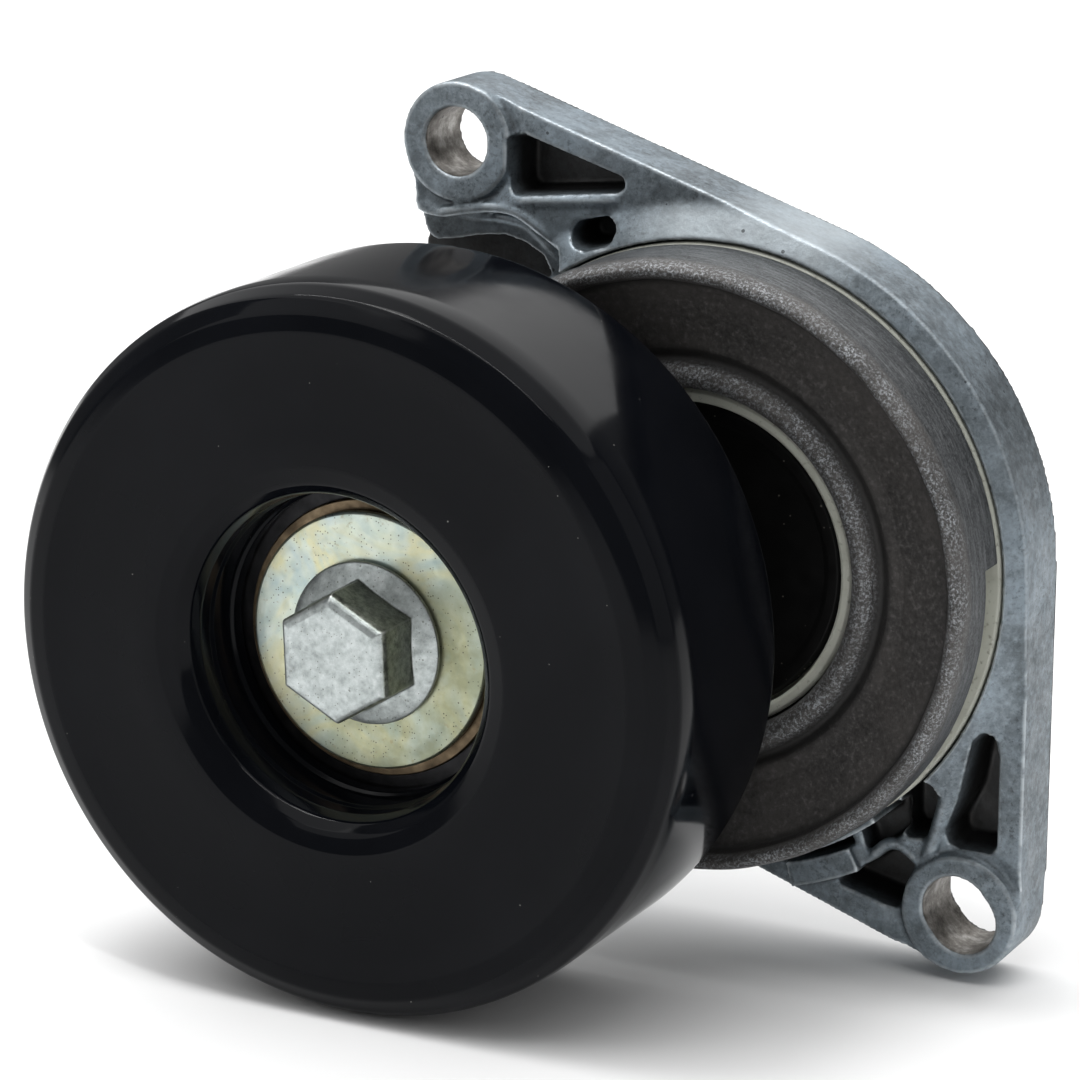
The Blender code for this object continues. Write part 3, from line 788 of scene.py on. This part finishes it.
def build_bracket(surface):
    item = prism("cast_bracket", bracket_outline(), 0.0, FACE_H)
    turn = math.atan2(SLOT_AXIS[1], SLOT_AXIS[0])
    dx, dy = SLOT_TRAVEL / 2.0 * math.cos(turn), SLOT_TRAVEL / 2.0 * math.sin(turn)
    rear_web = [(-42.2, 38.0), (-43.6, 33.0), (-42.5, 29.5), (-39.0, 27.5), (-28.0, 27.5), (-22.0, 31.0),
                (-25.0, 37.0)]
    rim = lathe("housing_rim", HOUSING_RIM, PIVOT, 160)
    boolean(rim, [sector("rim_end", 30.0, 60.0, RIM_CUT_FROM, RIM_CUT_TO, 5.0, 15.0)], "DIFFERENCE")
    boolean(rim, [prism("rim_side", bracket_outline(), 5.0, 15.0)], "INTERSECT")
    added = [
        rim,
        prism("boss_a", arc(EAR_A, EAR_R, 0, 352, 8), 1.0, PLATE_H),
        prism("boss_b", arc(EAR_B, EAR_R, 0, 352, 8), 1.0, PLATE_H),
        prism("post", arc(PIVOT, POST_R, 0, 354, 6), 1.0, 13.2),
        prism("rear_web", rear_web, 0.05, 4.0),
    ]
    boolean(item, added, "UNION")
    # The shoulder below the curved rib drops away from the plate.
    rib = smooth_path([(-41.5, 38.0), (-38.9, 38.2), (-35.0, 39.0), (-31.5, 39.5), (-28.9, 39.4),
                       (-27.0, 38.7), (-24.3, 37.0), (-21.6, 34.6)])
    low_rib = smooth_path([(-38.5, 37.6), (-34.6, 37.9), (-30.7, 38.1), (-27.5, 37.5), (-26.1, 36.7),
                           (-24.3, 35.2), (-22.3, 33.0)])
    shoulder = [(x, y + 0.2) for x, y in rib] + [(-20.5, 31.0), (-50.0, 30.0), (-50.0, 38.2)]
    relief = [(7.7, 8.5), (8.3, 8.5), (10.4, 9.2), (10.4, ABOVE), (7.7, ABOVE)]
    hole = arc(EAR_A, EAR_HOLE_R, 0, 352, 8)
    slot = hull_outline([(EAR_B[0] + dx, EAR_B[1] + dy, EAR_HOLE_R),
                         (EAR_B[0] - dx, EAR_B[1] - dy, EAR_HOLE_R)], 8.0)
    gap = arc(PIVOT, STOP_GAP[1], -77.0, -61.5) + arc(PIVOT, STOP_GAP[0], -61.5, -77.0)
    cuts = [
        prism("shoulder", shoulder, 7.6, ABOVE),
        lathe("relief_a", relief, EAR_A, 72),
        lathe("relief_b", relief, EAR_B, 72),
        pocket("pocket_long", POCKET_LONG, POCKET_FLOOR, 1.1),
        pocket("pocket_small", POCKET_SMALL, POCKET_FLOOR, 0.6, 1.4),
        pocket("pocket_tall", POCKET_TALL, POCKET_FLOOR, 0.9),
        pocket("pocket_mid", POCKET_MID, POCKET_FLOOR, 0.5),
        pocket("pocket_low", POCKET_LOW, POCKET_FLOOR, 0.6),
        pocket("sunken", SUNKEN, 5.2, 0.2),
        pocket("stop_gap", gap, 3.2, 0.0, 0.0),
        prism("hole_a", hole, -2.0, ABOVE),
        prism("slot_b", slot, -2.0, ABOVE),
        prism("post_bore", arc(PIVOT, 10.0, 0, 354, 6), 3.7, 30.0),
        lathe("seat", [(WELL_R, SEAT_H), (SEAT_R, SEAT_H), (SEAT_R, ABOVE), (WELL_R, ABOVE)], PIVOT, 120),
        lathe("well", [(POST_R, WELL_H), (WELL_R, WELL_H), (WELL_R, ABOVE), (POST_R, ABOVE)], PIVOT, 120),
    ]
    boolean(item, cuts, "DIFFERENCE")
    arch = smooth_path([(20.6, -38.3), (22.2, -36.4), (23.6, -35.2), (25.2, -35.0), (26.9, -36.0),
                        (27.8, -37.6)])
    side_rib = smooth_path([(34.0, -20.5), (32.9, -22.8), (31.4, -25.0), (31.0, -28.6), (30.3, -31.6),
                            (29.4, -34.6), (27.9, -37.0)])
    sill = smooth_path([(-30.0, 40.4), (-24.0, 40.9), (-18.0, 41.5), (-12.6, 42.0)])
    walls = [
        sector("stop_wall", STOP_GAP[1] - 0.1, 43.9, STOP_FROM, -62.2, 1.5, 10.4),
        sector("stop_toe", 36.8, 39.0, STOP_FROM + 0.2, STOP_TO - 0.2, 1.0, 14.6),
        tube_along("rib_bead", raised(rib, 8.75), 0.75),
        tube_along("rib_low", raised(low_rib, 7.5), 0.6),
        tube_along("arch", raised(arch, 8.6), 0.8),
        tube_along("side_rib", raised(side_rib, 8.7), 1.0),
        tube_along("pocket_sill", raised(sill, 8.75), 0.75),
    ]
    boolean(item, walls, "UNION")
    voxel(item, CAST_VOXEL, 2)
    edge_attribute(item)
    # The pockets, the stop gap and the rear web are marked for painted shade with some grime.
    recess_attribute(item,
                     [POCKET_LONG, POCKET_SMALL, POCKET_TALL, POCKET_MID, POCKET_LOW, SUNKEN, gap,
                      rear_web])
    return finish_piece(item, surface, "fixed", ["bracket"])


def build_cup(surface):
    outside = [(21.7, 17.2), (22.1, 18.2), (23.2, 18.6), (24.4, 18.1), (25.4, 16.7), (26.6, 17.4),
               (28.5, 17.6), (34.0, 19.3), (35.5, 19.9), (35.8, 21.6), (36.3, 22.6), (37.0, 22.8),
               (37.6, 22.3), (38.0, 21.2), (38.2, 19.6), (38.2, 11.5), (36.3, 11.5)]
    inside = [(36.3, 17.8), (34.2, 17.3), (25.4, 14.8), (23.8, 14.4), (23.8, 2.9), (17.1, 2.9), (17.1, 4.9),
              (21.7, 4.9)]
    radii = [0.8, 0.9, 1.2, 1.0, 0.8, 1.0, 2.0, 1.0, 0.6, 0.8, 0.6, 0.8, 0.7, 0.9, 1.5, 0.5, 0.4] + [0.8] * 8
    profile = densify(fillet(outside + inside, radii, 4), 0.8)

    def uneven(turn, r, h):
        if r > 35.0 and h > 19.0:
            dr = 0.06 * math.sin(7.0 * turn) + 0.04 * math.sin(23.0 * turn + 1.0)
            dh = 0.07 * math.sin(11.0 * turn)
            return dr, dh
        return 0.0, 0.0

    item = lathe("arm_cup_shell", profile, PIVOT, 320, uneven)
    post = lathe("post",
                 [(0.0, 17.0), (9.6, 17.0), (9.6, 24.0), (10.8, 24.6), (10.8, 30.0), (10.6, 30.2),
                  (8.2, 30.2), (8.2, 43.4), (7.9, 43.7), (0.0, 43.7)], PULLEY, 72)
    boolean(item, [post], "UNION")
    cuts = [
        sector("notch", 35.4, 41.0, NOTCH_FROM, NOTCH_TO, 9.0, 15.6),
        prism("bore", arc(PULLEY, BOLT_BORE_R, 0, 352, 8), 23.0, 50.0),
        sector("roll_step", 24.6, 26.2, -3.0, 3.0, 17.6, 20.0),
    ]
    boolean(item, cuts, "DIFFERENCE")
    edge_attribute(item)
    return finish_piece(item, surface, "arm", ["arm_cup"], 40.0)


def build_pulley(surface):
    top = PULLEY_FRONT
    outline = [(43.9, 27.0), (45.0, 28.2), (45.0, top - 5.4), (44.75, top - 3.4), (43.6, top - 1.55),
               (41.8, top - 0.4), (39.6, top), (37.4, top - 0.30), (35.6, top - 0.42), (30.0, top - 0.40),
               (25.2, top - 0.15), (23.6, top - 0.2), (21.4, top - 0.95), (20.1, top - 2.2),
               (19.6, top - 3.9), (19.6, 50.6), (19.3, 50.1), (19.3, 46.6), (18.8, 46.2), (18.8, 44.3),
               (20.3, 44.3), (20.3, 31.6), (22.6, 31.6), (22.6, 50.6), (24.4, 53.2), (38.6, 53.6),
               (42.4, 50.6), (42.4, 27.0)]
    radii = [0.9, 1.2, 3.0, 2.0, 2.0, 2.0, 2.0, 1.5, 2.0, 3.0, 2.0, 2.0, 2.0, 1.5, 1.5, 0.3, 0.3, 0.4, 0.3,
             0.3, 0.2, 0.3, 0.4, 2.0, 2.0, 2.0, 2.0, 0.6]
    profile = densify(fillet(outline, radii, 6), 1.6)
    item = lathe("pulley_rim", profile, PULLEY, 320)
    return finish_piece(item, surface, "pulley", ["pulley_shell"], 50.0)


def build_small(name, outline, radius, centre, surface, body, node, segments=160):
    profile = densify(fillet(outline, radius, 4), 1.2)
    item = lathe(name, profile, centre, segments)
    edge_attribute(item)
    return finish_piece(item, surface, body, [node], 45.0)


def build_bolt(surface):
    flange = [(0.0, 23.6), (4.0, 23.6), (4.9, 24.5), (4.9, 46.6), (9.9, 46.6), (10.1, 46.85), (10.05, 47.2),
              (9.4, 47.5), (7.4, 48.2), (0.0, 48.6)]
    item = lathe("flange_bolt",
                 densify(fillet(flange, [0, 0.2, 0.2, 0.1, 0.2, 0.2, 0.2, 0.6, 0.6, 0], 3), 0.9), PULLEY,
                 120)
    bm = bmesh.new()
    corner = HEX_FLATS / math.sqrt(3.0)
    bmesh.ops.create_cone(bm, cap_ends=True, segments=6, radius1=corner * MM, radius2=corner * MM,
                          depth=HEX_DEPTH * MM, matrix=Matrix.Rotation(math.radians(HEX_TURN), 4, "Z"))
    front = [e for e in bm.edges if all(v.co.z > 0.0 for v in e.verts)]
    bmesh.ops.bevel(bm, geom=front, offset=1.25 * MM, segments=3, profile=0.45, affect="EDGES")
    mesh = bpy.data.meshes.new("hexagon")
    bm.to_mesh(mesh)
    bm.free()
    head = bpy.data.objects.new("hexagon", mesh)
    bpy.context.scene.collection.objects.link(head)
    centre = Vector(stand(PULLEY[0], PULLEY[1], HEX_MID_H))
    mesh.transform(Matrix.Translation(centre) @ Matrix.Rotation(math.radians(90), 4, "X"))
    boolean(item, [head], "UNION")
    voxel(item, BOLT_VOXEL, 2, 0.4)
    edge_attribute(item, 1)
    flank_attribute(item)
    return finish_piece(item, surface, "arm", ["pulley_bolt"])


def build_all():
    cast = cast_look()
    phosphate = phosphate_look()
    enamel = pulley_look()
    zinc = zinc_look()
    bolt = bolt_look()
    bronze = bronze_look()
    cream = cream_look()
    black = black_look()
    bearing = steel_look("bearing_steel", (0.45, 0.45, 0.46), 0.28)
    spring = steel_look("spring_steel", (0.12, 0.12, 0.125), 0.45, PIVOT)
    shield = steel_look("shield_steel", (0.25, 0.25, 0.26), 0.4)
    cage = steel_look("cage_steel", (0.4, 0.4, 0.4), 0.4)
    rubber = rubber_look()

    build_bracket(cast)
    build_cup(phosphate)
    build_pulley(enamel)
    build_bolt(bolt)
    build_small("washer_plate",
                [(5.5, 45.15), (15.6, 45.15), (15.9, 45.35), (15.9, 46.1), (15.6, 46.3), (5.5, 46.3)], 0.2,
                PULLEY, zinc, "arm", "zinc_washer")
    build_small("dust_shield",
                [(8.5, 44.3), (17.0, 44.3), (17.2, 44.5), (17.0, 44.85), (5.5, 44.85), (5.5, 44.0),
                 (8.5, 44.0)], 0.12, PULLEY, bronze, "arm", "front_shield")
    build_small("bush_flange",
                [(17.1, 5.4), (17.4, 5.2), (21.1, 5.2), (21.4, 5.5), (21.4, 16.0), (21.0, 16.5),
                 (20.2, 16.5), (19.8, 16.1), (19.8, 13.2), (17.1, 13.2)], 0.3, PIVOT, cream, "fixed",
                "pivot_bush", 200)
    build_small("pivot_head",
                [(0.0, 4.0), (9.3, 4.0), (9.7, 4.4), (9.7, 13.5), (19.3, 13.5), (19.3, 14.6), (18.8, 15.0),
                 (17.6, 15.0), (17.0, 14.7), (0.0, 14.7)], 0.3, PIVOT, black, "fixed",
                "pivot_pin", 200)
    ring = [(34.6, 9.0), (38.0, 9.0), (38.3, 9.3), (38.3, 10.9), (38.0, 11.2), (36.0, 11.2), (36.0, 14.2),
            (34.9, 14.2), (34.6, 13.9)]
    item = lathe("damper_band", densify(fillet(ring, 0.25, 3), 1.2), PIVOT, 280)
    boolean(item, [sector("key", 36.3, 41.0, STOP_FROM - 0.6, STOP_TO + 0.6, 7.0, 16.0)], "DIFFERENCE")
    finish_piece(item, cream, "fixed", ["damper_ring"], 45.0)

    # The bearing's outer ring, deep inside the hub, is coloured near black.
    dark_ring = steel_look("dark_ring_steel", (0.03, 0.03, 0.032), 0.35)
    kept = {"torsion_spring": spring, "bearing_inner_ring": bearing, "bearing_outer_ring": dark_ring,
            "front_seal": rubber, "rear_seal": rubber, "ball_cage": cage, "rear_shield": shield}
    kept.update({f"bearing_ball_{k}": bearing for k in range(1, 9)})
    for name, surface in kept.items():
        mesh = NODES[name].data
        mesh.materials.clear()
        mesh.materials.append(surface)
        mesh.shade_smooth()
        mesh.set_sharp_from_angle(angle=math.radians(38.0))


def studio():
    bpy.ops.mesh.primitive_plane_add(size=14.0, location=(0.0, 0.0, FLOOR_Z - FLOOR_GAP))
    floor = bpy.context.object
    floor.name = "studio_floor"
    floor.data.materials.append(floor_look())

    world = bpy.data.worlds.new("studio")
    bpy.context.scene.world = world
    world.use_nodes = True
    world.node_tree.nodes["Background"].inputs[0].default_value = (1.0, 1.0, 1.0, 1.0)
    world.node_tree.nodes["Background"].inputs[1].default_value = 0.25

    target = Vector(LIGHT_AIM)

    def area(name, place, size, power):
        light = bpy.data.lights.new(name, "AREA")
        light.shape = "RECTANGLE"
        light.size, light.size_y = size
        light.energy = power
        lamp = bpy.data.objects.new(name, light)
        lamp.location = place
        lamp.rotation_euler = (target - Vector(place)).to_track_quat("-Z", "Y").to_euler()
        bpy.context.scene.collection.objects.link(lamp)

    area("top_soft", (-0.2, 0.35, 1.4), (3.0, 3.0), 48.0)
    area("top_key", (-0.25, -0.2, 1.0), (0.25, 0.25), 1.5)
    area("top_strip", (-0.1, -0.3, 1.0), (1.4, 0.02), 3.5)
    area("key_left", (-0.7, -0.9, 0.7), (0.8, 0.8), 2.2)
    area("right_soft", (1.1, -0.15, 0.45), (0.9, 1.0), 1.4)

    lens = bpy.data.cameras.new("camera")
    lens.lens = CAMERA_LENS
    lens.sensor_width = 36.0
    lens.clip_start = 0.01
    camera = bpy.data.objects.new("camera", lens)
    camera.location = CAMERA_PLACE
    camera.rotation_euler = (math.radians(90.0 - CAMERA_TILT), 0.0, math.radians(CAMERA_TURN))
    bpy.context.scene.collection.objects.link(camera)
    bpy.context.scene.camera = camera
    bpy.context.scene.view_settings.view_transform = "Standard"


build_all()
studio()
